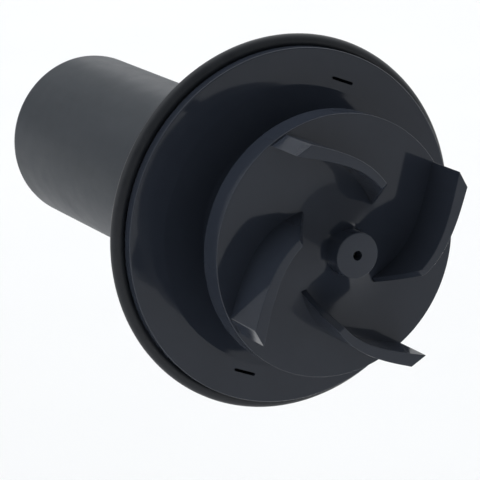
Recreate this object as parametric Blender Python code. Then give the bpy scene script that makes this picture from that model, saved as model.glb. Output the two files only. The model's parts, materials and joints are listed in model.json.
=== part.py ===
"""Running unit of a wet-rotor circulation pump: sealing cover, magnet rotor and open impeller.

The shaft lies along Y. The impeller faces -Y, the magnet barrel points to +Y and +Z is up.
The origin is on the shaft axis, in the middle plane of the large O-ring on the cover's rim.
Sizes are in metres. "Forward" is the distance in front of the O-ring plane, towards the impeller.
"""

import math

import bmesh
import bpy
from mathutils import Matrix, Vector

MM = 0.001

# Driving dimensions
RIM_RADIUS = 37.5 * MM            # outside of the O-ring on the cover's rim
SHAFT_RADIUS = 3.0 * MM
BARREL_RADIUS = 18.15 * MM        # magnet barrel
BARREL_END = 92.4 * MM            # rear face of the barrel, behind the O-ring plane
IMPELLER_RADIUS = 25.7 * MM       # back shroud of the impeller
SHROUD_FACE = 20.9 * MM           # forward position of the shroud's front face
VANE_TOP = 30.75 * MM             # forward position of the vanes' front edges
HUB_FACE = 28.7 * MM              # forward position of the hub's front face
VANE_COUNT = 4

# Fits
BOND_GAP = 0.15 * MM              # glue or moulding allowance between pieces that stay together
RUNNING_GAP = 0.08 * MM           # radial clearance of a journal in its bush
BORE_BONDED = SHAFT_RADIUS + BOND_GAP
BORE_RUNNING = SHAFT_RADIUS + RUNNING_GAP

# Facets around a turned piece
SEGMENTS_LARGE = 48
SEGMENTS_SMALL = 28


# ---------------------------------------------------------------- helpers

def clear_scene():
    for item in list(bpy.data.objects):
        bpy.data.objects.remove(item, do_unlink=True)


def material(name, colour, roughness, metallic=0.0):
    made = bpy.data.materials.get(name) or bpy.data.materials.new(name)
    made.use_nodes = True
    shader = made.node_tree.nodes["Principled BSDF"]
    shader.inputs["Base Color"].default_value = (*colour, 1.0)
    shader.inputs["Roughness"].default_value = roughness
    shader.inputs["Metallic"].default_value = metallic
    return made


def glossy_black():
    return material("glossy_black", (0.018, 0.020, 0.023), 0.2)


def satin_black():
    return material("satin_black", (0.035, 0.036, 0.040), 0.42)


def seal_rubber():
    return material("seal_rubber", (0.022, 0.022, 0.024), 0.6)


def bearing_ceramic():
    return material("bearing_ceramic", (0.78, 0.76, 0.70), 0.25)


def ferrite():
    return material("ferrite", (0.06, 0.06, 0.062), 0.7)


def filled_plastic():
    return material("filled_plastic", (0.10, 0.10, 0.11), 0.55)


def washer_plastic():
    return material("washer_plastic", (0.72, 0.71, 0.68), 0.45)


def spring_steel():
    return material("spring_steel", (0.55, 0.55, 0.56), 0.3, metallic=1.0)


def add_object(name, mesh, finish, parent):
    mesh.materials.append(finish)
    made = bpy.data.objects.new(name, mesh)
    bpy.context.collection.objects.link(made)
    made.parent = parent
    return made


def mesh_from(name, geometry):
    bmesh.ops.recalc_face_normals(geometry, faces=geometry.faces)
    mesh = bpy.data.meshes.new(name)
    geometry.to_mesh(mesh)
    geometry.free()
    return mesh


def shade_round(mesh, sharp_degrees=32.0):
    mesh.shade_smooth()
    mesh.set_sharp_from_angle(angle=math.radians(sharp_degrees))


def turned_mesh(name, profile, segments):
    """A closed outline of (radius, forward) points, spun about the shaft axis."""
    geometry = bmesh.new()
    corners = [geometry.verts.new((radius, -forward, 0.0)) for radius, forward in profile]
    edges = [geometry.edges.new((a, b)) for a, b in zip(corners, corners[1:] + corners[:1])]
    on_axis = [e for e in edges if all(abs(v.co.x) < 1e-9 for v in e.verts)]
    bmesh.ops.delete(geometry, geom=on_axis, context="EDGES_FACES")
    bmesh.ops.spin(
        geometry,
        geom=list(geometry.verts) + list(geometry.edges),
        cent=(0.0, 0.0, 0.0),
        axis=(0.0, 1.0, 0.0),
        angle=math.tau,
        steps=segments,
        use_merge=True,
    )
    bmesh.ops.remove_doubles(geometry, verts=geometry.verts, dist=1e-7)
    return mesh_from(name, geometry)


def turned(name, profile, finish, parent, segments=SEGMENTS_SMALL):
    mesh = turned_mesh(name, profile, segments)
    shade_round(mesh)
    return add_object(name, mesh, finish, parent)


def arc(centre_radius, centre_forward, radius, start, end, steps):
    """Points of a round stretch of an outline; angles in degrees from the outward direction."""
    points = []
    for step in range(steps + 1):
        angle = math.radians(start + (end - start) * step / steps)
        across = centre_radius + radius * math.cos(angle)
        along = centre_forward + radius * math.sin(angle)
        points.append((across, along))
    return points


def ring_profile(inner, outer, front, back, chamfer=0.0):
    """Outline of a plain ring between two forward positions, with its outer edges broken."""
    if chamfer <= 0.0:
        return [(inner, front), (outer, front), (outer, back), (inner, back)]
    return [
        (inner, front),
        (outer - chamfer, front),
        (outer, front - chamfer),
        (outer, back + chamfer),
        (outer - chamfer, back),
        (inner, back),
    ]


def prism_mesh(name, outline, front, back):
    """A plan outline of (x, z) points, extruded between two forward positions."""
    geometry = bmesh.new()
    corners = [geometry.verts.new((x, -front, z)) for x, z in outline]
    face = geometry.faces.new(corners)
    extruded = bmesh.ops.extrude_face_region(geometry, geom=[face])
    moved = [item for item in extruded["geom"] if isinstance(item, bmesh.types.BMVert)]
    bmesh.ops.translate(geometry, verts=moved, vec=Vector((0.0, front - back, 0.0)))
    return mesh_from(name, geometry)


def helper_object(name, mesh):
    """A shape that only cuts or joins, and is left out of the build."""
    made = bpy.data.objects.new(name, mesh)
    bpy.context.collection.objects.link(made)
    made.hide_render = True
    made.display_type = "WIRE"
    return made


def combine(target, tool, operation):
    change = target.modifiers.new(tool.name, "BOOLEAN")
    change.operation = operation
    change.object = tool
    return change


def polar(radius, degrees):
    angle = math.radians(degrees)
    return radius * math.cos(angle), radius * math.sin(angle)


def box_outline(centre_x, centre_z, length, width, degrees):
    """Corners of a rectangle whose length points in the given direction."""
    turn = Matrix.Rotation(math.radians(degrees), 2)
    corners = []
    for along, across in ((-1, -1), (1, -1), (1, 1), (-1, 1)):
        offset = turn @ Vector((along * length / 2, across * width / 2))
        corners.append((centre_x + offset.x, centre_z + offset.y))
    return corners


# ---------------------------------------------------------------- cover

PLATE_FACE = 4.0 * MM             # front face of the cover's flat outer band
PLATE_RADIUS = 35.4 * MM
PLATE_BACK = -3.0 * MM
GROOVE_RADIUS = 34.3 * MM
GROOVE_HALF_WIDTH = 1.6 * MM
RING_SECTION = 1.45 * MM          # section radius of the rim O-ring
DISH_RADIUS = 28.5 * MM           # where the shallow dish in the cover's face begins
TURRET_TOP = 12.6 * MM            # bearing turret in the middle of the cover
TURRET_RADIUS = 15.5 * MM
CUP_BORE = 8.15 * MM
SPIGOT_RADIUS = 29.5 * MM
SPIGOT_END = -10.0 * MM
WEB_BACK = -2.5 * MM
BOSS_END = -5.0 * MM
SLOT_RADIUS = 30.0 * MM
SLOT_LENGTH = 4.9 * MM
SLOT_WIDTH = 0.6 * MM
SLOT_DEPTH = 4.6 * MM
SLOT_ANGLES = (69.0, 249.0)


def cover_profile():
    edge = 0.3 * MM
    front = [(4.2 * MM, TURRET_TOP), (TURRET_RADIUS - 0.8 * MM, TURRET_TOP)]
    front += arc(TURRET_RADIUS - 0.8 * MM, TURRET_TOP - 0.8 * MM, 0.8 * MM, 60, 0, 2)
    front += arc(20.2 * MM, PLATE_FACE + 3.2 * MM, 4.2 * MM, 180, 262, 5)
    front += [(DISH_RADIUS - 1.5 * MM, PLATE_FACE - 0.17 * MM), (DISH_RADIUS, PLATE_FACE)]
    rim = [
        (PLATE_RADIUS - edge, PLATE_FACE),
        (PLATE_RADIUS, PLATE_FACE - edge / 2),
        (PLATE_RADIUS, GROOVE_HALF_WIDTH),
        (GROOVE_RADIUS, GROOVE_HALF_WIDTH),
        (GROOVE_RADIUS, -GROOVE_HALF_WIDTH),
        (PLATE_RADIUS, -GROOVE_HALF_WIDTH),
        (PLATE_RADIUS, PLATE_BACK),
    ]
    back = [
        (SPIGOT_RADIUS, PLATE_BACK),
        (SPIGOT_RADIUS, SPIGOT_END + 0.6 * MM),
        (SPIGOT_RADIUS - 0.6 * MM, SPIGOT_END),
        (27.0 * MM, SPIGOT_END),
        (27.0 * MM, WEB_BACK),
        (13.9 * MM, WEB_BACK),
        (13.4 * MM, TURRET_TOP - 2.6 * MM),
        (10.2 * MM, TURRET_TOP - 2.6 * MM),
        (10.2 * MM, BOSS_END),
        (CUP_BORE, BOSS_END),
        (CUP_BORE, TURRET_TOP - 1.6 * MM),
        (4.2 * MM, TURRET_TOP - 1.6 * MM),
    ]
    return front + rim + back


def make_cover(parent):
    cover = turned("cover_plate", cover_profile(), glossy_black(), parent, SEGMENTS_LARGE)
    for number, degrees in enumerate(SLOT_ANGLES):
        x, z = polar(SLOT_RADIUS, degrees)
        outline = box_outline(x, z, SLOT_LENGTH, SLOT_WIDTH, degrees + 90.0)
        top = PLATE_FACE + 1.0 * MM
        mesh = prism_mesh(f"slot_cutter_{number}", outline, top, PLATE_FACE - SLOT_DEPTH)
        combine(cover, helper_object(f"slot_cutter_{number}", mesh), "DIFFERENCE")
    return cover


def make_rim_ring(parent):
    centre = RIM_RADIUS - RING_SECTION
    profile = arc(centre, 0.0, RING_SECTION, 0, 360, 12)[:-1]
    return turned("rim_o_ring", profile, seal_rubber(), parent, SEGMENTS_LARGE)


# ---------------------------------------------------------------- bearings

BUSH_RADIUS = 6.0 * MM
FRONT_BUSH_BACK = -2.0 * MM
FRONT_CUP_FRONT = 10.85 * MM
REAR_BUSH_FRONT = -94.7 * MM
REAR_BUSH_BACK = -102.0 * MM
REAR_CUP_BACK = -104.5 * MM
WASHER_RADIUS = 5.7 * MM


def make_front_bearing(parent):
    cup_inner = BUSH_RADIUS + BOND_GAP
    cup_outer = CUP_BORE - BOND_GAP
    lip = FRONT_CUP_FRONT - 1.0 * MM
    cup = [
        (4.4 * MM, FRONT_CUP_FRONT),
        (cup_outer, FRONT_CUP_FRONT),
        (cup_outer, FRONT_BUSH_BACK),
        (cup_inner, FRONT_BUSH_BACK),
        (cup_inner, lip),
        (4.4 * MM, lip),
    ]
    turned("front_bearing_cup", cup, seal_rubber(), parent)
    bush = ring_profile(BORE_RUNNING, BUSH_RADIUS, lip - BOND_GAP, FRONT_BUSH_BACK, 0.4 * MM)
    turned("front_bearing_bush", bush, bearing_ceramic(), parent)
    retainer = ring_profile(6.1 * MM, cup_outer, FRONT_BUSH_BACK - BOND_GAP, -4.4 * MM, 0.3 * MM)
    turned("bearing_retainer", retainer, filled_plastic(), parent)


def make_rear_bearing(parent):
    bush_radius = 5.5 * MM
    bush = ring_profile(BORE_RUNNING, bush_radius, REAR_BUSH_FRONT, REAR_BUSH_BACK, 0.4 * MM)
    turned("rear_bearing_bush", bush, bearing_ceramic(), parent)
    inner = bush_radius + BOND_GAP
    outer = 8.3 * MM
    rib = 8.9 * MM
    mouth = REAR_BUSH_FRONT - 0.2 * MM
    cup = [(inner, mouth), (outer, mouth)]
    for middle in (-97.5 * MM, -101.0 * MM):
        cup += arc(outer - 0.1 * MM, middle, rib - outer + 0.1 * MM, 80, -80, 6)
    cup += [
        (outer, REAR_CUP_BACK + 0.8 * MM),
        (outer - 0.8 * MM, REAR_CUP_BACK),
        (0.0, REAR_CUP_BACK),
        (0.0, REAR_BUSH_BACK - BOND_GAP),
        (inner, REAR_BUSH_BACK - BOND_GAP),
    ]
    turned("rear_bearing_cup", cup, seal_rubber(), parent)


# ---------------------------------------------------------------- rotor

SHAFT_FRONT = 25.8 * MM
SHAFT_BACK = -101.6 * MM
BARREL_FRONT = -14.0 * MM
BARREL_SHELL = 1.6 * MM           # wall of the plastic barrel over the magnet
BARREL_END_ROUND = 3.0 * MM
CAP_SEAM = -16.0 * MM
CORE_RADIUS = 7.0 * MM
CORE_NOSE_RADIUS = 5.4 * MM
MAGNET_FRONT = -18.3 * MM
MAGNET_BACK = -88.6 * MM
PAD_BACK = -89.6 * MM              # rear face of the pad behind the magnet


def make_shaft(parent):
    chamfer = 0.4 * MM
    profile = [
        (0.0, SHAFT_FRONT),
        (SHAFT_RADIUS - chamfer, SHAFT_FRONT),
        (SHAFT_RADIUS, SHAFT_FRONT - chamfer),
        (SHAFT_RADIUS, SHAFT_BACK + chamfer),
        (SHAFT_RADIUS - chamfer, SHAFT_BACK),
        (0.0, SHAFT_BACK),
    ]
    turned("rotor_shaft", profile, bearing_ceramic(), parent)


def make_core_sleeve(parent):
    shoulder = MAGNET_FRONT + BOND_GAP
    profile = [
        (BORE_BONDED, -4.05 * MM),
        (CORE_NOSE_RADIUS, -4.05 * MM),
        (CORE_NOSE_RADIUS, shoulder),
        (CORE_RADIUS, shoulder),
        (CORE_RADIUS, PAD_BACK),
        (CORE_NOSE_RADIUS, PAD_BACK),
        (CORE_NOSE_RADIUS, -92.6 * MM),
        (BORE_BONDED, -92.6 * MM),
    ]
    turned("core_sleeve", profile, filled_plastic(), parent)


def make_magnet(parent):
    outer = BARREL_RADIUS - BARREL_SHELL - BOND_GAP
    profile = ring_profile(CORE_RADIUS + BOND_GAP, outer, MAGNET_FRONT, MAGNET_BACK, 0.6 * MM)
    turned("ring_magnet", profile, ferrite(), parent)


def make_magnet_pad(parent):
    """A soft ring that takes up the magnet's length in the closed end of the barrel."""
    outer = BARREL_RADIUS - BARREL_SHELL - BOND_GAP
    profile = ring_profile(CORE_RADIUS + BOND_GAP, outer, MAGNET_BACK - BOND_GAP, PAD_BACK)
    turned("magnet_end_pad", profile, seal_rubber(), parent)


def make_barrel(parent):
    inner = BARREL_RADIUS - BARREL_SHELL
    bore = CORE_NOSE_RADIUS + BOND_GAP
    inside_end = PAD_BACK - BOND_GAP
    seam = CAP_SEAM - BOND_GAP
    profile = [(inner, seam), (BARREL_RADIUS, seam)]
    round_middle = -BARREL_END + BARREL_END_ROUND
    profile += arc(BARREL_RADIUS - BARREL_END_ROUND, round_middle, BARREL_END_ROUND, 0, -90, 5)
    profile += [(bore, -BARREL_END), (bore, inside_end), (inner, inside_end)]
    turned("rotor_barrel", profile, satin_black(), parent, SEGMENTS_LARGE)


def make_front_cap(parent):
    bore = CORE_NOSE_RADIUS + BOND_GAP
    spigot = BARREL_RADIUS - BARREL_SHELL - BOND_GAP
    profile = [
        (bore, BARREL_FRONT),
        (BARREL_RADIUS - 0.8 * MM, BARREL_FRONT),
        (BARREL_RADIUS, BARREL_FRONT - 0.8 * MM),
        (BARREL_RADIUS, CAP_SEAM),
        (spigot, CAP_SEAM),
        (spigot, MAGNET_FRONT + 2 * BOND_GAP),
        (bore, MAGNET_FRONT + 2 * BOND_GAP),
    ]
    turned("rotor_front_cap", profile, satin_black(), parent, SEGMENTS_LARGE)


def make_thrust_washers(parent):
    front = ring_profile(BORE_BONDED, WASHER_RADIUS, -2.6 * MM, -3.9 * MM, 0.2 * MM)
    turned("front_thrust_washer", front, washer_plastic(), parent)
    rear = ring_profile(BORE_BONDED, WASHER_RADIUS, -92.75 * MM, -94.1 * MM, 0.2 * MM)
    turned("rear_thrust_washer", rear, washer_plastic(), parent)


# ---------------------------------------------------------------- start clutch

CLUTCH_RADIUS = 11.5 * MM         # chamber in the back of the impeller
CLUTCH_FRONT = 19.4 * MM
CLUTCH_BACK = 14.9 * MM
DOG_FRONT = 18.6 * MM
DOG_BACK = 15.6 * MM
DOG_REACH = 9.6 * MM
DOG_WIDTH = 3.0 * MM
DOG_DIRECTION = 0.0               # the dog points to +X at rest
STOP_DIRECTION = 180.0            # the stop in the impeller is opposite the dog at rest
STOP_INNER = 6.4 * MM
STOP_WIDTH = 5.0 * MM


def make_drive_dog(parent):
    profile = ring_profile(BORE_BONDED, 5.2 * MM, DOG_FRONT, DOG_BACK)
    dog = turned("drive_dog", profile, filled_plastic(), parent)
    length = DOG_REACH - 4.2 * MM
    x, z = polar(DOG_REACH - length / 2, DOG_DIRECTION)
    outline = box_outline(x, z, length, DOG_WIDTH, DOG_DIRECTION)
    mesh = prism_mesh("dog_finger", outline, DOG_FRONT - 0.2 * MM, DOG_BACK + 0.2 * MM)
    combine(dog, helper_object("dog_finger", mesh), "UNION")


def make_dog_buffer(parent):
    """A rubber boot with a slot right through it, pushed over the dog's finger."""
    reach = 3.2 * MM
    x, z = polar(DOG_REACH - reach / 2 - 0.3 * MM, DOG_DIRECTION)
    outline = box_outline(x, z, reach, DOG_WIDTH + 2.0 * MM, DOG_DIRECTION)
    mesh = prism_mesh("dog_buffer", outline, DOG_FRONT + 0.45 * MM, DOG_BACK - 0.45 * MM)
    buffer = add_object("dog_buffer", mesh, seal_rubber(), parent)
    hole = box_outline(x, z, 2 * reach, DOG_WIDTH + 2 * BOND_GAP, DOG_DIRECTION)
    top = DOG_FRONT - 0.2 * MM + BOND_GAP
    cut = prism_mesh("buffer_slot_cutter", hole, top, DOG_BACK + 0.2 * MM - BOND_GAP)
    combine(buffer, helper_object("buffer_slot_cutter", cut), "DIFFERENCE")


def make_dog_clip(parent):
    profile = ring_profile(BORE_BONDED, 4.6 * MM, DOG_FRONT + 0.55 * MM, DOG_FRONT + 0.15 * MM)
    turned("dog_clip", profile, spring_steel(), parent)


# ---------------------------------------------------------------- impeller

SHROUD_BACK = 15.6 * MM
BOSS_RADIUS = 14.0 * MM
BOSS_BACK = 13.5 * MM
HUB_RADIUS = 4.45 * MM
VENT_RADIUS = 0.95 * MM
HUB_FILLET = 2.0 * MM             # at the foot of the hub
SKIRT_RADIUS = 15.0 * MM          # where the shroud starts to rise towards the hub
SKIRT_SWEEP = 20.8 * MM           # radius of that rise
VANE_STATIONS = 12
VANE_THICK = 2.6 * MM
VANE_THIN = 1.0 * MM              # at the leading edge
VANE_OUTER = 25.4 * MM            # the vanes end just inside the shroud's edge
LEADING_HEIGHT = 0.8 * MM         # height of the leading edge where it meets the shroud
LEADING_SHARE = 0.25              # share of the vane's length that the leading edge takes
VANE_ROOT = Vector((7.7, -7.43)) * MM
VANE_TIP = Vector((21.95, 12.78)) * MM
ROOT_DIRECTION = 20.0             # degrees from +X, the camber line's heading at the root
TIP_DIRECTION = 76.0
ROOT_REACH = 9.2 * MM             # lengths of the camber curve's two handles
TIP_REACH = 11.7 * MM


def impeller_profile():
    edge = 0.5 * MM
    fillet_centre = HUB_RADIUS + 0.05 * MM + HUB_FILLET
    across = SKIRT_RADIUS - fillet_centre
    down = math.sqrt((SKIRT_SWEEP - HUB_FILLET) ** 2 - across**2)
    meet = 180 + math.degrees(math.atan2(down, across))
    skirt_top = SHROUD_FACE + SKIRT_SWEEP
    profile = [(VENT_RADIUS, HUB_FACE), (HUB_RADIUS - 0.3 * MM, HUB_FACE)]
    profile += [(HUB_RADIUS, HUB_FACE - 0.3 * MM)]
    profile += arc(fillet_centre, skirt_top - down, HUB_FILLET, 180, meet, 4)
    profile += arc(SKIRT_RADIUS, skirt_top, SKIRT_SWEEP, meet, 270, 5)[1:]
    profile += [
        (IMPELLER_RADIUS - edge, SHROUD_FACE),
        (IMPELLER_RADIUS, SHROUD_FACE - edge),
        (IMPELLER_RADIUS, SHROUD_BACK + edge),
        (IMPELLER_RADIUS - edge, SHROUD_BACK),
        (BOSS_RADIUS, SHROUD_BACK),
        (BOSS_RADIUS, BOSS_BACK),
        (12.75 * MM, BOSS_BACK),
        (12.75 * MM, CLUTCH_BACK),
        (CLUTCH_RADIUS, CLUTCH_BACK),
        (CLUTCH_RADIUS, CLUTCH_FRONT),
        (BORE_RUNNING, CLUTCH_FRONT),
        (BORE_RUNNING, SHAFT_FRONT + 0.4 * MM),
        (VENT_RADIUS, SHAFT_FRONT + 0.4 * MM),
    ]
    return profile


def camber_point(share):
    """Point and heading of the vane's camber line, a Bezier curve from root to tip."""
    leave = Vector(polar(ROOT_REACH, ROOT_DIRECTION))
    arrive = Vector(polar(TIP_REACH, TIP_DIRECTION))
    a, b, c, d = VANE_ROOT, VANE_ROOT + leave, VANE_TIP - arrive, VANE_TIP
    rest = 1.0 - share
    point = a * rest**3 + b * 3 * rest**2 * share + c * 3 * rest * share**2 + d * share**3
    heading = (b - a) * rest**2 + (c - b) * 2 * rest * share + (d - c) * share**2
    return point, heading.normalized()


def vane_height(share):
    if share >= LEADING_SHARE:
        return VANE_TOP
    low = SHROUD_FACE + LEADING_HEIGHT
    return low + (VANE_TOP - low) * share / LEADING_SHARE


def slide_to_circle(point, heading, radius):
    """The point moved along the heading until it is at the given distance from the shaft."""
    along = point.dot(heading)
    travel = -along + math.sqrt(along**2 + radius**2 - point.length_squared)
    return point + heading * travel


def vane_mesh(name):
    """A swept blade: a strip of four-cornered sections joined from the root to the tip."""
    geometry = bmesh.new()
    foot = SHROUD_FACE - 0.6 * MM
    steps = [step / VANE_STATIONS for step in range(VANE_STATIONS + 1)]
    sections = []
    for share in steps:
        point, heading = camber_point(share)
        side = Vector((-heading.y, heading.x))
        half = (VANE_THIN + (VANE_THICK - VANE_THIN) * share) / 2
        left = point + side * half
        right = point - side * half
        if share == 1.0:
            left = slide_to_circle(left, heading, VANE_OUTER)
            right = slide_to_circle(right, heading, VANE_OUTER)
        top = vane_height(share)
        corners = ((left, foot), (right, foot), (right, top), (left, top))
        sections.append([geometry.verts.new((p.x, -h, p.y)) for p, h in corners])
    for first, second in zip(sections, sections[1:]):
        for corner in range(4):
            following = (corner + 1) % 4
            quad = (first[corner], first[following], second[following], second[corner])
            geometry.faces.new(quad)
    geometry.faces.new(sections[0])
    geometry.faces.new(sections[-1])
    return mesh_from(name, geometry)


def make_impeller(parent):
    impeller = turned("impeller", impeller_profile(), glossy_black(), parent, SEGMENTS_LARGE)
    for number in range(VANE_COUNT):
        mesh = vane_mesh(f"vane_{number}")
        mesh.transform(Matrix.Rotation(-math.tau * number / VANE_COUNT, 4, "Y"))
        combine(impeller, helper_object(f"vane_{number}", mesh), "UNION")
    length = CLUTCH_RADIUS + 0.5 * MM - STOP_INNER
    x, z = polar(STOP_INNER + length / 2, STOP_DIRECTION)
    outline = box_outline(x, z, length, STOP_WIDTH, STOP_DIRECTION)
    mesh = prism_mesh("clutch_stop", outline, CLUTCH_FRONT + 0.5 * MM, CLUTCH_BACK + 0.3 * MM)
    combine(impeller, helper_object("clutch_stop", mesh), "UNION")


def make_clutch_cover(parent):
    outer = 12.75 * MM - BOND_GAP
    profile = ring_profile(3.4 * MM, outer, CLUTCH_BACK - BOND_GAP, BOSS_BACK)
    turned("clutch_cover", profile, filled_plastic(), parent)


# ---------------------------------------------------------------- assembly

def make_empty(name, parent=None):
    made = bpy.data.objects.new(name, None)
    bpy.context.collection.objects.link(made)
    made.parent = parent
    return made


def main():
    clear_scene()
    fixed = make_empty("fixed_set")
    rotor = make_empty("rotor_axis", fixed)
    impeller = make_empty("impeller_axis", rotor)
    make_cover(fixed)
    make_rim_ring(fixed)
    make_front_bearing(fixed)
    make_rear_bearing(fixed)
    make_shaft(rotor)
    make_core_sleeve(rotor)
    make_magnet(rotor)
    make_magnet_pad(rotor)
    make_barrel(rotor)
    make_front_cap(rotor)
    make_thrust_washers(rotor)
    make_drive_dog(rotor)
    make_dog_buffer(rotor)
    make_dog_clip(rotor)
    make_impeller(impeller)
    make_clutch_cover(impeller)


main()
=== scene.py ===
"""Looks for the running unit of a wet-rotor circulation pump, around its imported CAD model.

The shaft lies along Y, the impeller faces -Y and +Z is up. Sizes are in metres. In outlines,
"forward" is the distance in front of the O-ring's plane, towards the impeller, which is -Y.
"""

import json
import math

import bmesh
import bpy
from mathutils import Matrix, Vector


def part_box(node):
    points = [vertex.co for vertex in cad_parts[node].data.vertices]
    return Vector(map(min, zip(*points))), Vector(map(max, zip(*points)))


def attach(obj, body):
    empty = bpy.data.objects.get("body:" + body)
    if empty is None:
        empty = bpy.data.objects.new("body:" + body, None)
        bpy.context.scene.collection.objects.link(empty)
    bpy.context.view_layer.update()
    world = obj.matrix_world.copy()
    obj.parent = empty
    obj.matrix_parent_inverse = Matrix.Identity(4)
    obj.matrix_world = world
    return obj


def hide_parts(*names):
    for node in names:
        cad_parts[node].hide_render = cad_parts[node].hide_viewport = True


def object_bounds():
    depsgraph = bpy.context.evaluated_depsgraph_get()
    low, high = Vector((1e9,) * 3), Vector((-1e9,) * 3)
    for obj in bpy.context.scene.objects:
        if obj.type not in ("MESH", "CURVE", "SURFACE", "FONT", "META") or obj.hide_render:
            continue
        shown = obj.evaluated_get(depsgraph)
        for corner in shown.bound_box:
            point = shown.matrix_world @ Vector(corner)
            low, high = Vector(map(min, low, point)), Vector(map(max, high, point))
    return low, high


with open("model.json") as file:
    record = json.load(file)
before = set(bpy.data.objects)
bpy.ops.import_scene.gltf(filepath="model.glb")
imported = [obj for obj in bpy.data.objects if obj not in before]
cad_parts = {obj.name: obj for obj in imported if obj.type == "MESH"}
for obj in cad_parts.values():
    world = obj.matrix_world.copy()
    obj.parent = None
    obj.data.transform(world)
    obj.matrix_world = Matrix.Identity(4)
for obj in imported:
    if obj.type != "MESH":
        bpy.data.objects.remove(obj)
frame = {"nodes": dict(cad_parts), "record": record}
cad_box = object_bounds()

MM = 0.001
SEGMENTS = 224                    # around a large turned piece
SMALL_SEGMENTS = 96

# What the CAD model says about where things are
COVER_FRONT = -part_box("cover_plate")[0].y
RIM_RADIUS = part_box("rim_o_ring")[1].x
IMPELLER_BACK = -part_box("impeller")[1].y
VANE_TOP = -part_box("impeller")[0].y


# ---------------------------------------------------------------- mesh tools

def new_object(name, mesh):
    made = bpy.data.objects.new(name, mesh)
    bpy.context.scene.collection.objects.link(made)
    return made


def mesh_from(name, geometry):
    bmesh.ops.recalc_face_normals(geometry, faces=geometry.faces)
    mesh = bpy.data.meshes.new(name)
    geometry.to_mesh(mesh)
    geometry.free()
    return mesh


def arc(centre_radius, centre_forward, radius, start, end, steps):
    """Points of a round stretch of an outline; angles in degrees from the outward direction."""
    points = []
    for step in range(steps + 1):
        angle = math.radians(start + (end - start) * step / steps)
        across = centre_radius + radius * math.cos(angle)
        along = centre_forward + radius * math.sin(angle)
        points.append((across, along))
    return points


def round_corners(outline, radius, closed=True, steps=4, sharpest=30.0):
    """The outline with every corner that turns by more than the given angle made round."""
    points = [Vector(point) for point in outline]
    count = len(points)
    result = []
    for index, corner in enumerate(points):
        if not closed and index in (0, count - 1):
            result.append(tuple(corner))
            continue
        before = points[index - 1] - corner
        after = points[(index + 1) % count] - corner
        turn = math.pi - before.angle(after)
        if turn < math.radians(sharpest):
            result.append(tuple(corner))
            continue
        reach = radius * math.tan(turn / 2)
        reach = min(reach, 0.45 * before.length, 0.45 * after.length)
        start = corner + before.normalized() * reach
        end = corner + after.normalized() * reach
        for step in range(steps + 1):
            share = step / steps
            near = start.lerp(corner, share)
            far = corner.lerp(end, share)
            result.append(tuple(near.lerp(far, share)))
    return result


def turned_mesh(name, outline, segments):
    """A closed outline of (radius, forward) points, spun about the shaft axis."""
    geometry = bmesh.new()
    corners = [geometry.verts.new((radius, -forward, 0.0)) for radius, forward in outline]
    edges = [geometry.edges.new((a, b)) for a, b in zip(corners, corners[1:] + corners[:1])]
    on_axis = [e for e in edges if all(abs(v.co.x) < 1e-9 for v in e.verts)]
    bmesh.ops.delete(geometry, geom=on_axis, context="EDGES_FACES")
    bmesh.ops.spin(
        geometry,
        geom=list(geometry.verts) + list(geometry.edges),
        cent=(0.0, 0.0, 0.0),
        axis=(0.0, 1.0, 0.0),
        angle=math.tau,
        steps=segments,
        use_merge=True,
    )
    bmesh.ops.remove_doubles(geometry, verts=geometry.verts, dist=1e-7)
    return mesh_from(name, geometry)


def outline_of(node):
    """The (radius, forward) outline of a turned CAD node, where its mesh meets the +X half plane."""
    geometry = bmesh.new()
    geometry.from_mesh(frame["nodes"][node].data)
    bmesh.ops.remove_doubles(geometry, verts=geometry.verts, dist=1e-6)
    in_plane = {v for v in geometry.verts if abs(v.co.z) < 2e-6 and v.co.x > -1e-6}
    links = {}
    for vert in in_plane:
        links[vert] = [e.other_vert(vert) for e in vert.link_edges if e.other_vert(vert) in in_plane]
    ends = [vert for vert in in_plane if len(links[vert]) == 1]
    first = min(ends or in_plane, key=lambda vert: (vert.co.y, vert.co.x))
    walk = [first]
    while True:
        onward = [vert for vert in links[walk[-1]] if vert not in walk]
        if not onward:
            break
        walk.append(min(onward, key=lambda vert: (vert.co.y, vert.co.x)))
    outline = [(max(0.0, vert.co.x), -vert.co.y) for vert in walk]
    geometry.free()
    return outline


def shade(made, sharp_degrees=34.0):
    """Smooth shading that keeps flat faces flat."""
    made.data.shade_smooth()
    made.data.set_sharp_from_angle(angle=math.radians(sharp_degrees))
    weighted = made.modifiers.new("even_normals", "WEIGHTED_NORMAL")
    weighted.keep_sharp = True
    weighted.weight = 60


def apply_modifiers(made):
    """Replaces the object's mesh by what its modifiers make of it."""
    graph = bpy.context.evaluated_depsgraph_get()
    mesh = bpy.data.meshes.new_from_object(made.evaluated_get(graph))
    made.modifiers.clear()
    made.data = mesh


def combine(made, tool, operation):
    """A Boolean with a helper object, which is used up."""
    change = made.modifiers.new(operation.lower(), "BOOLEAN")
    change.operation = operation
    change.object = tool
    apply_modifiers(made)
    bpy.data.objects.remove(tool, do_unlink=True)


# ---------------------------------------------------------------- material tools

def add_node(tree, kind, **values):
    made = tree.nodes.new(kind)
    for name, value in values.items():
        if name in made.inputs:
            made.inputs[name].default_value = value
        else:
            setattr(made, name, value)
    return made


def start_material(name):
    """A material with a Principled shader, and the surface's own coordinates in metres."""
    made = bpy.data.materials.new(name)
    made.use_nodes = True
    tree = made.node_tree
    shader = tree.nodes["Principled BSDF"]
    place = add_node(tree, "ShaderNodeTexCoord")
    return made, tree, shader, place.outputs["Object"]


def noise(tree, where, scale, detail=3.0, roughness=0.55):
    made = add_node(tree, "ShaderNodeTexNoise", Scale=scale, Detail=detail, Roughness=roughness)
    tree.links.new(where, made.inputs["Vector"])
    return made.outputs["Fac"]


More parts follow.
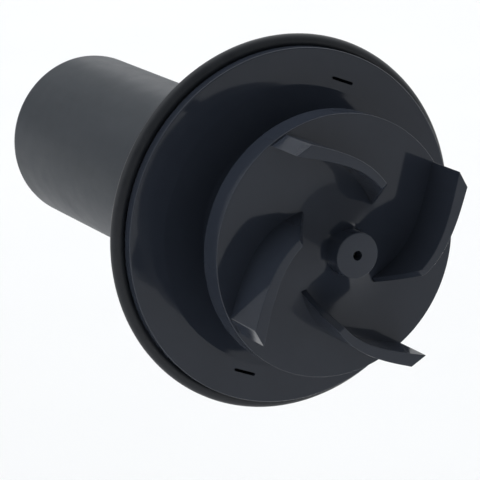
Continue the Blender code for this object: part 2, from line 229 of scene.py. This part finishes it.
def spread(tree, value, low, high, from_low=0.3, from_high=0.7):
    """The value, stretched from its usual range to low..high."""
    made = add_node(tree, "ShaderNodeMapRange")
    made.inputs["From Min"].default_value = from_low
    made.inputs["From Max"].default_value = from_high
    made.inputs["To Min"].default_value = low
    made.inputs["To Max"].default_value = high
    tree.links.new(value, made.inputs["Value"])
    return made.outputs["Result"]


def two_colours(tree, value, first, second, start=0.35, end=0.65):
    made = add_node(tree, "ShaderNodeValToRGB")
    made.color_ramp.elements[0].position = start
    made.color_ramp.elements[0].color = (*first, 1.0)
    made.color_ramp.elements[1].position = end
    made.color_ramp.elements[1].color = (*second, 1.0)
    tree.links.new(value, made.inputs["Fac"])
    return made.outputs["Color"]


def arithmetic(tree, operation, first, second):
    made = add_node(tree, "ShaderNodeMath", operation=operation)
    for socket, value in zip(made.inputs, (first, second)):
        if isinstance(value, float):
            socket.default_value = value
        else:
            tree.links.new(value, socket)
    return made.outputs["Value"]


def bump(tree, shader, heights):
    """Bump from several (height, depth in metres) layers, the first one underneath."""
    normal = None
    for height, depth in heights:
        made = add_node(tree, "ShaderNodeBump", Strength=1.0, Distance=depth)
        tree.links.new(height, made.inputs["Height"])
        if normal is not None:
            tree.links.new(normal, made.inputs["Normal"])
        normal = made.outputs["Normal"]
    tree.links.new(normal, shader.inputs["Normal"])


def stretched(tree, where, x, y, z):
    made = add_node(tree, "ShaderNodeMapping")
    made.inputs["Scale"].default_value = (x, y, z)
    tree.links.new(where, made.inputs["Vector"])
    return made.outputs["Vector"]


def hairlines(tree, where, scale, width):
    """Fine scratches: the narrow band where a stretched noise crosses its middle value."""
    value = noise(tree, where, scale, detail=1.0)
    off_middle = arithmetic(tree, "ABSOLUTE", arithmetic(tree, "SUBTRACT", value, 0.5), 0.0)
    return spread(tree, off_middle, 1.0, 0.0, 0.0, width)


# ---------------------------------------------------------------- materials

def glossy_plastic(name):
    """Deep blue-black moulding with a polished skin, faint ripple and a few hairline scuffs."""
    made, tree, shader, where = start_material(name)
    cloud = noise(tree, where, 70.0, detail=4.0)
    colour = two_colours(tree, cloud, (0.0235, 0.0285, 0.0400), (0.0270, 0.0325, 0.0450))
    tree.links.new(colour, shader.inputs["Base Color"])
    scuff_place = stretched(tree, where, 1.0, 0.35, 2.2)
    scuffs = hairlines(tree, scuff_place, 420.0, 0.008)
    patches = spread(tree, noise(tree, where, 160.0, detail=5.0), 0.06, 0.10)
    rough = arithmetic(tree, "ADD", patches, arithmetic(tree, "MULTIPLY", scuffs, 0.05))
    tree.links.new(rough, shader.inputs["Roughness"])
    shader.inputs["IOR"].default_value = 1.5
    shader.inputs["Specular IOR Level"].default_value = 0.28
    ripple = noise(tree, where, 240.0, detail=2.0)
    peel = noise(tree, where, 1600.0, detail=2.0)
    bump(tree, shader, [(ripple, 0.000012), (peel, 0.0000022)])
    return made


def satin_plastic(name):
    """Charcoal moulding with a fine spark-eroded grain and faint lengthwise flow marks."""
    made, tree, shader, where = start_material(name)
    flow = noise(tree, stretched(tree, where, 1.0, 0.12, 1.0), 150.0, detail=4.0)
    colour = two_colours(tree, flow, (0.0430, 0.0485, 0.0560), (0.0500, 0.0555, 0.0640))
    tree.links.new(colour, shader.inputs["Base Color"])
    rough = spread(tree, noise(tree, where, 220.0, detail=6.0), 0.38, 0.46)
    tree.links.new(rough, shader.inputs["Roughness"])
    shader.inputs["Specular IOR Level"].default_value = 0.12
    grain = noise(tree, where, 5200.0, detail=3.0)
    bump(tree, shader, [(flow, 0.00001), (grain, 0.000005)])
    return made


def seal_rubber(name):
    """Matt black rubber with a dusty bloom."""
    made, tree, shader, where = start_material(name)
    bloom = noise(tree, where, 260.0, detail=6.0, roughness=0.65)
    colour = two_colours(tree, bloom, (0.0100, 0.0120, 0.0160), (0.0160, 0.0185, 0.0230))
    tree.links.new(colour, shader.inputs["Base Color"])
    tree.links.new(spread(tree, bloom, 0.36, 0.5), shader.inputs["Roughness"])
    shader.inputs["Specular IOR Level"].default_value = 0.3
    skin = noise(tree, where, 3800.0, detail=2.0)
    bump(tree, shader, [(skin, 0.000006)])
    return made


def bearing_ceramic(name):
    """Ground off-white ceramic with faint grinding rings and grey speckle."""
    made, tree, shader, where = start_material(name)
    speckle = noise(tree, where, 2600.0, detail=5.0, roughness=0.7)
    colour = two_colours(tree, speckle, (0.60, 0.58, 0.52), (0.80, 0.78, 0.72), 0.28, 0.5)
    tree.links.new(colour, shader.inputs["Base Color"])
    rings = noise(tree, stretched(tree, where, 0.02, 1.0, 0.02), 4200.0, detail=3.0)
    tree.links.new(spread(tree, rings, 0.16, 0.3), shader.inputs["Roughness"])
    bump(tree, shader, [(rings, 0.000003)])
    return made


def magnet_ferrite(name):
    """Dark grey sintered magnet with a fine pitted grain."""
    made, tree, shader, where = start_material(name)
    grain = noise(tree, where, 1800.0, detail=8.0, roughness=0.7)
    colour = two_colours(tree, grain, (0.035, 0.035, 0.037), (0.085, 0.085, 0.088))
    tree.links.new(colour, shader.inputs["Base Color"])
    tree.links.new(spread(tree, grain, 0.8, 0.6), shader.inputs["Roughness"])
    bump(tree, shader, [(grain, 0.00003)])
    return made


def filled_plastic(name):
    """Dull dark grey plastic with short filler fibres near its surface."""
    made, tree, shader, where = start_material(name)
    fibres = noise(tree, stretched(tree, where, 1.0, 0.25, 1.0), 1500.0, detail=4.0)
    colour = two_colours(tree, fibres, (0.045, 0.046, 0.050), (0.075, 0.077, 0.082))
    tree.links.new(colour, shader.inputs["Base Color"])
    tree.links.new(spread(tree, fibres, 0.5, 0.64), shader.inputs["Roughness"])
    bump(tree, shader, [(fibres, 0.00001)])
    return made


def washer_plastic(name):
    """Waxy off-white plastic with turning marks."""
    made, tree, shader, where = start_material(name)
    cloud = noise(tree, where, 500.0, detail=4.0)
    colour = two_colours(tree, cloud, (0.60, 0.59, 0.55), (0.72, 0.71, 0.67))
    tree.links.new(colour, shader.inputs["Base Color"])
    tree.links.new(spread(tree, cloud, 0.36, 0.5), shader.inputs["Roughness"])
    bump(tree, shader, [(noise(tree, where, 3000.0), 0.000004)])
    return made


def spring_steel(name):
    """Bright rolled steel with a fine brushed grain."""
    made, tree, shader, where = start_material(name)
    grain = noise(tree, stretched(tree, where, 1.0, 1.0, 0.05), 5000.0, detail=4.0)
    colour = two_colours(tree, grain, (0.46, 0.46, 0.47), (0.62, 0.62, 0.63))
    tree.links.new(colour, shader.inputs["Base Color"])
    tree.links.new(spread(tree, grain, 0.22, 0.38), shader.inputs["Roughness"])
    shader.inputs["Metallic"].default_value = 1.0
    bump(tree, shader, [(grain, 0.000004)])
    return made


SLOT_MATERIALS = {
    "cover_gloss_black": glossy_plastic,
    "impeller_gloss_black": glossy_plastic,
    "barrel_satin_black": satin_plastic,
    "seal_rubber": seal_rubber,
    "bearing_ceramic": bearing_ceramic,
    "magnet_ferrite": magnet_ferrite,
    "filled_plastic": filled_plastic,
    "washer_plastic": washer_plastic,
    "spring_steel": spring_steel,
}
finishes = {slot: make(slot) for slot, make in SLOT_MATERIALS.items()}
slot_of = {row["node"]: row["material_slot"] for row in frame["record"]["subparts"]}
body_of = {}
for body_name, members in frame["record"]["behaviour"]["bodies"].items():
    for member in members:
        body_of[member] = body_name


def dress(piece, node):
    """The piece stands for the CAD node: same body, same finish."""
    piece.data.materials.clear()
    piece.data.materials.append(finishes[slot_of[node]])
    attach(piece, body_of[node])
    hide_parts(node)


# ---------------------------------------------------------------- camera

def make_camera():
    """Looks at the unit from the front, 28 degrees to its left and 15 degrees above."""
    ahead = Vector((0.4555, 0.8538, -0.2521)).normalized()
    right = Vector((0.8823, -0.4707, 0.0)).normalized()
    up = right.cross(ahead)
    data = bpy.data.cameras.new("camera")
    data.sensor_width = 36.0
    data.lens = 207.9
    data.clip_start = 0.05
    data.clip_end = 50.0
    camera = bpy.data.objects.new("camera", data)
    bpy.context.scene.collection.objects.link(camera)
    place = -(0.2275 * right + 0.0915 * up + 14.5 * ahead) * RIM_RADIUS
    axes = Matrix((right, up, -ahead)).transposed()
    camera.matrix_world = Matrix.Translation(place) @ axes.to_4x4()
    bpy.context.scene.camera = camera


make_camera()


# ---------------------------------------------------------------- cover

PLATE_RADIUS = 35.4 * MM
GROOVE_RADIUS = 34.3 * MM
GROOVE_HALF = 1.6 * MM
DISH_RADIUS = 28.5 * MM
TURRET_TOP = COVER_FRONT
TURRET_RADIUS = 15.5 * MM
PLATE_FACE = 4.0 * MM
PLATE_BACK = -3.0 * MM
SPIGOT_RADIUS = 29.5 * MM
SPIGOT_END = -10.0 * MM
SPIGOT_BORE = 27.0 * MM
WEB_BACK = -2.5 * MM
CUP_BORE = 8.15 * MM
CUP_SLEEVE = 10.2 * MM            # outside of the sleeve around the front bearing's cup
CUP_SLEEVE_END = -5.0 * MM
SHAFT_HOLE = 4.2 * MM
SLOT_RADIUS = 30.0 * MM
SLOT_LENGTH = 4.9 * MM
SLOT_WIDTH = 0.6 * MM
SLOT_DEPTH = 4.6 * MM
SLOT_ANGLES = (69.0, 249.0)


def cover_outline():
    front = [(SHAFT_HOLE, TURRET_TOP), (TURRET_RADIUS, TURRET_TOP)]
    front = round_corners(front + [(TURRET_RADIUS, 8.0 * MM)], 0.8 * MM, closed=False)[:-1]
    front += arc(20.2 * MM, PLATE_FACE + 3.2 * MM, 4.2 * MM, 180, 262, 14)
    front += [(DISH_RADIUS - 1.5 * MM, PLATE_FACE - 0.17 * MM)]
    front += arc(DISH_RADIUS, PLATE_FACE - 6.0 * MM, 6.0 * MM, 96, 90, 4)
    rim = [
        (PLATE_RADIUS, PLATE_FACE),
        (PLATE_RADIUS, GROOVE_HALF),
        (GROOVE_RADIUS, GROOVE_HALF),
        (GROOVE_RADIUS, -GROOVE_HALF),
        (PLATE_RADIUS, -GROOVE_HALF),
        (PLATE_RADIUS, PLATE_BACK),
        (SPIGOT_RADIUS, PLATE_BACK),
        (SPIGOT_RADIUS, SPIGOT_END),
        (SPIGOT_BORE, SPIGOT_END),
        (SPIGOT_BORE, WEB_BACK),
        (13.9 * MM, WEB_BACK),
        (13.4 * MM, TURRET_TOP - 2.6 * MM),
        (CUP_SLEEVE, TURRET_TOP - 2.6 * MM),
        (CUP_SLEEVE, CUP_SLEEVE_END),
        (CUP_BORE, CUP_SLEEVE_END),
        (CUP_BORE, TURRET_TOP - 1.6 * MM),
        (SHAFT_HOLE, TURRET_TOP - 1.6 * MM),
    ]
    return front + round_corners(front[-1:] + rim, 0.28 * MM, closed=False)[1:]


def slot_tool(degrees):
    """A thin round-ended bar that cuts a slot square to the radius."""
    geometry = bmesh.new()
    outline = []
    for side in (1, -1):
        for step in range(7):
            turn = math.radians(-90 + 180 * step / 6)
            along = side * ((SLOT_LENGTH - SLOT_WIDTH) / 2 + SLOT_WIDTH / 2 * math.cos(turn))
            across = side * SLOT_WIDTH / 2 * math.sin(turn)
            outline.append((along, across))
    aim = math.radians(degrees)
    out = Vector((math.cos(aim), math.sin(aim)))
    along_axis = Vector((-out.y, out.x))
    rings = []
    for forward in (PLATE_FACE + 1.0 * MM, PLATE_FACE - SLOT_DEPTH):
        ring = []
        for along, across in outline:
            spot = out * (SLOT_RADIUS + across) + along_axis * along
            ring.append(geometry.verts.new((spot.x, -forward, spot.y)))
        rings.append(ring)
    for index in range(len(outline)):
        after = (index + 1) % len(outline)
        quad = (rings[0][index], rings[0][after], rings[1][after], rings[1][index])
        geometry.faces.new(quad)
    for ring in rings:
        geometry.faces.new(ring)
    return new_object("slot_tool", mesh_from("slot_tool", geometry))


def make_cover():
    mesh = turned_mesh("cover", cover_outline(), SEGMENTS)
    cover = new_object("cover", mesh)
    for degrees in SLOT_ANGLES:
        combine(cover, slot_tool(degrees), "DIFFERENCE")
    shade(cover)
    dress(cover, "cover_plate")


def make_rim_ring():
    """The rubber ring on the cover's rim."""
    section = 1.45 * MM
    centre = RIM_RADIUS - section
    outline = []
    for step in range(40):
        angle = math.tau * step / 40
        outline.append((centre + section * math.cos(angle), section * math.sin(angle)))
    ring = new_object("rim_ring", turned_mesh("rim_ring", outline, SEGMENTS))
    shade(ring)
    dress(ring, "rim_o_ring")


# ---------------------------------------------------------------- impeller

SHROUD_RADIUS = 25.7 * MM
SHROUD_FACE = 20.9 * MM
SHROUD_BACK = 15.6 * MM
CHAMBER_WALL = 14.0 * MM          # radii and depths of the clutch chamber in the back
CHAMBER_SEAT = 12.75 * MM
CHAMBER_BORE = 11.5 * MM
CHAMBER_STEP = 14.9 * MM
CHAMBER_FLOOR = 19.4 * MM
SHAFT_BORE = 3.08 * MM
SHAFT_STOP = 26.2 * MM
HUB_FACE = 28.7 * MM
HUB_RADIUS = 4.45 * MM
HUB_FILLET = 2.0 * MM             # at the foot of the hub
SKIRT_RADIUS = 15.0 * MM          # where the shroud starts to rise towards the hub
SKIRT_SWEEP = 20.8 * MM           # radius of that rise
VENT_RADIUS = 0.95 * MM
VANE_COUNT = 4
VANE_STATIONS = 40
LAST_STATION = 0.92               # share of the length where the end face's slant begins
VANE_THICK = 2.6 * MM
VANE_THIN = 1.0 * MM
VANE_OUTER = 25.4 * MM
LEADING_HEIGHT = 0.8 * MM
LEADING_SHARE = 0.25
VANE_ROOT = Vector((7.7, -7.43)) * MM
VANE_TIP = Vector((21.95, 12.78)) * MM
ROOT_HANDLE = Vector((8.65, 3.15)) * MM
TIP_HANDLE = Vector((2.83, 11.35)) * MM


def impeller_outline():
    hub = [(VENT_RADIUS, HUB_FACE), (HUB_RADIUS, HUB_FACE), (HUB_RADIUS, HUB_FACE - 2.0 * MM)]
    front = round_corners(hub, 0.25 * MM, closed=False)[:-1]
    fillet_centre = HUB_RADIUS + 0.05 * MM + HUB_FILLET
    across = SKIRT_RADIUS - fillet_centre
    down = math.sqrt((SKIRT_SWEEP - HUB_FILLET) ** 2 - across**2)
    meet = 180 + math.degrees(math.atan2(down, across))
    skirt_top = SHROUD_FACE + SKIRT_SWEEP
    front += arc(fillet_centre, skirt_top - down, HUB_FILLET, 180, meet, 10)
    front += arc(SKIRT_RADIUS, skirt_top, SKIRT_SWEEP, meet, 270, 16)[1:]
    body = [
        (SHROUD_RADIUS, SHROUD_FACE),
        (SHROUD_RADIUS, SHROUD_BACK),
        (CHAMBER_WALL, SHROUD_BACK),
        (CHAMBER_WALL, IMPELLER_BACK),
        (CHAMBER_SEAT, IMPELLER_BACK),
        (CHAMBER_SEAT, CHAMBER_STEP),
        (CHAMBER_BORE, CHAMBER_STEP),
        (CHAMBER_BORE, CHAMBER_FLOOR),
        (SHAFT_BORE, CHAMBER_FLOOR),
        (SHAFT_BORE, SHAFT_STOP),
        (VENT_RADIUS, SHAFT_STOP),
    ]
    return front + round_corners(front[-1:] + body, 0.15 * MM, closed=False)[1:]


def camber_point(share):
    """Point and heading of the vane's camber line, a Bezier curve from root to tip."""
    a, b, c, d = VANE_ROOT, VANE_ROOT + ROOT_HANDLE, VANE_TIP - TIP_HANDLE, VANE_TIP
    rest = 1.0 - share
    point = a * rest**3 + b * 3 * rest**2 * share + c * 3 * rest * share**2 + d * share**3
    heading = (b - a) * rest**2 + (c - b) * 2 * rest * share + (d - c) * share**2
    return point, heading.normalized()


def vane_height(share):
    if share >= LEADING_SHARE:
        return VANE_TOP
    low = SHROUD_FACE + LEADING_HEIGHT
    return low + (VANE_TOP - low) * share / LEADING_SHARE


def slide_to_circle(point, heading, radius):
    """The point moved along the heading until it is at the given distance from the shaft."""
    along = point.dot(heading)
    travel = -along + math.sqrt(along**2 + radius**2 - point.length_squared)
    return point + heading * travel


def vane_tool(number):
    """One swept blade with softened edges, its foot sunk into the shroud."""
    geometry = bmesh.new()
    foot = SHROUD_FACE - 0.6 * MM
    sections = []
    for step in range(VANE_STATIONS + 1):
        last = step == VANE_STATIONS
        share = 1.0 if last else LAST_STATION * step / (VANE_STATIONS - 1)
        point, heading = camber_point(share)
        side = Vector((-heading.y, heading.x))
        half = (VANE_THIN + (VANE_THICK - VANE_THIN) * share) / 2
        left = point + side * half
        right = point - side * half
        if last:
            left = slide_to_circle(left, heading, VANE_OUTER)
            right = slide_to_circle(right, heading, VANE_OUTER)
        top = vane_height(share)
        corners = ((left, foot), (right, foot), (right, top), (left, top))
        sections.append([geometry.verts.new((p.x, -h, p.y)) for p, h in corners])
    for first, second in zip(sections, sections[1:]):
        for corner in range(4):
            following = (corner + 1) % 4
            quad = (first[corner], first[following], second[following], second[corner])
            geometry.faces.new(quad)
    geometry.faces.new(sections[0])
    geometry.faces.new(sections[-1])
    vane = new_object("vane", mesh_from("vane", geometry))
    soften = vane.modifiers.new("soften", "BEVEL")
    soften.width = 0.16 * MM
    soften.segments = 3
    soften.limit_method = "ANGLE"
    soften.angle_limit = math.radians(35)
    apply_modifiers(vane)
    vane.data.transform(Matrix.Rotation(-math.tau * number / VANE_COUNT, 4, "Y"))
    return vane


def make_impeller():
    mesh = turned_mesh("open_impeller", impeller_outline(), SEGMENTS)
    impeller = new_object("open_impeller", mesh)
    for number in range(VANE_COUNT):
        combine(impeller, vane_tool(number), "UNION")
    shade(impeller)
    dress(impeller, "impeller")


# ---------------------------------------------------------------- the other turned pieces

FINE_PIECES = {
    "rotor_barrel": ("magnet_barrel", 0.25 * MM, SEGMENTS),
    "rotor_front_cap": ("barrel_front_cap", 0.25 * MM, SEGMENTS),
    "rotor_shaft": ("ceramic_shaft", 0.12 * MM, SMALL_SEGMENTS),
    "core_sleeve": ("magnet_core_sleeve", 0.15 * MM, SMALL_SEGMENTS),
    "ring_magnet": ("two_pole_magnet", 0.2 * MM, SMALL_SEGMENTS),
    "magnet_end_pad": ("magnet_pad", 0.1 * MM, SMALL_SEGMENTS),
    "front_bearing_cup": ("front_rubber_cup", 0.2 * MM, SMALL_SEGMENTS),
    "front_bearing_bush": ("front_ceramic_bush", 0.15 * MM, SMALL_SEGMENTS),
    "bearing_retainer": ("front_bearing_ring", 0.15 * MM, SMALL_SEGMENTS),
    "rear_bearing_cup": ("rear_rubber_cup", 0.2 * MM, SMALL_SEGMENTS),
    "rear_bearing_bush": ("rear_ceramic_bush", 0.15 * MM, SMALL_SEGMENTS),
    "front_thrust_washer": ("front_washer", 0.1 * MM, SMALL_SEGMENTS),
    "rear_thrust_washer": ("rear_washer", 0.1 * MM, SMALL_SEGMENTS),
    "clutch_cover": ("clutch_chamber_cover", 0.15 * MM, SMALL_SEGMENTS),
    "dog_clip": ("dog_spring_clip", 0.08 * MM, SMALL_SEGMENTS),
}


def make_fine_pieces():
    """Each turned CAD node again, with smooth sides and softened edges."""
    for node, (name, soft_edge, segments) in FINE_PIECES.items():
        outline = outline_of(node)
        closed = all(radius > 0.0 for radius, forward in outline)
        outline = round_corners(outline, soft_edge, closed=closed)
        piece = new_object(name, turned_mesh(name, outline, segments))
        shade(piece)
        dress(piece, node)


def finish_cad_nodes():
    """The clutch's dog and its rubber boot keep their CAD shape and get a real finish."""
    for node in ("drive_dog", "dog_buffer"):
        shown = frame["nodes"][node]
        shown.data.materials.clear()
        shown.data.materials.append(finishes[slot_of[node]])


# ---------------------------------------------------------------- studio

FLOOR_DROP = 120.0 * MM           # the floor's distance under the cover's rim
FLOOR_REACH = 6.0                 # half width, and how far the floor comes forward
BEND_START = 4.0                  # where the floor begins to turn up
BEND_RADIUS = 1.5
BEND_STEPS = 12
WHITE = (1.0, 1.0, 1.0)
SURROUND_STRENGTH = 1.35
FRONT_STRENGTH = 0.36
FRONT_DIRECTION = (-0.20, -0.93, 0.30)


def make_floor():
    """A wide pale floor that turns up into a backdrop far behind."""
    level = cad_box[0].z - FLOOR_DROP
    profile = [(-FLOOR_REACH, level), (BEND_START, level)]
    for step in range(1, BEND_STEPS + 1):
        angle = math.radians(90 * step / BEND_STEPS)
        along = BEND_START + BEND_RADIUS * math.sin(angle)
        profile.append((along, level + BEND_RADIUS * (1 - math.cos(angle))))
    profile.append((BEND_START + BEND_RADIUS, level + 4.0))
    geometry = bmesh.new()
    rows = []
    for y, z in profile:
        rows.append([geometry.verts.new((x, y, z)) for x in (-FLOOR_REACH, FLOOR_REACH)])
    for near, far in zip(rows, rows[1:]):
        geometry.faces.new((near[0], near[1], far[1], far[0]))
    for face in geometry.faces:
        face.smooth = True
    floor = new_object("studio_floor", mesh_from("studio_floor", geometry))
    made, tree, shader, where = start_material("studio_paper")
    cloud = noise(tree, where, 3.0)
    colour = two_colours(tree, cloud, (0.90, 0.90, 0.90), (0.92, 0.92, 0.92))
    tree.links.new(colour, shader.inputs["Base Color"])
    shader.inputs["Roughness"].default_value = 0.9
    shader.inputs["Specular IOR Level"].default_value = 0.1
    floor.data.materials.append(made)


def soft_box(name, place, target, width, height, power):
    data = bpy.data.lights.new(name, "AREA")
    data.shape = "RECTANGLE"
    data.size = width
    data.size_y = height
    data.energy = power
    data.color = WHITE
    lamp = bpy.data.objects.new(name, data)
    bpy.context.scene.collection.objects.link(lamp)
    lamp.location = place
    aim = Vector(target) - Vector(place)
    lamp.rotation_euler = aim.to_track_quat("-Z", "Y").to_euler()
    return lamp


def make_light():
    """A soft surround that is dimmer in front of the unit, and two large soft boxes."""
    world = bpy.data.worlds.new("studio")
    world.use_nodes = True
    tree = world.node_tree
    background = tree.nodes["Background"]
    background.inputs["Color"].default_value = (0.96, 0.98, 1.0, 1.0)
    direction = add_node(tree, "ShaderNodeTexCoord").outputs["Generated"]
    towards = add_node(tree, "ShaderNodeVectorMath", operation="DOT_PRODUCT")
    tree.links.new(direction, towards.inputs[0])
    towards.inputs[1].default_value = Vector(FRONT_DIRECTION).normalized()
    facing = towards.outputs["Value"]
    glow = spread(tree, facing, SURROUND_STRENGTH, FRONT_STRENGTH, 0.0, 0.5)
    tree.links.new(glow, background.inputs["Strength"])
    bpy.context.scene.world = world
    soft_box("back_box", (1.0, 1.7, 0.75), (0.0, 0.05, 0.0), 0.9, 0.7, 2.4)
    top = soft_box("top_box", (0.1, 0.7, 1.8), (0.0, 0.2, 0.0), 1.8, 1.6, 14.0)
    top.visible_glossy = False    # no hard-edged image of it in the polished sides


bpy.context.scene.view_settings.view_transform = "Standard"
make_cover()
make_rim_ring()
make_impeller()
make_fine_pieces()
finish_cad_nodes()
make_floor()
make_light()
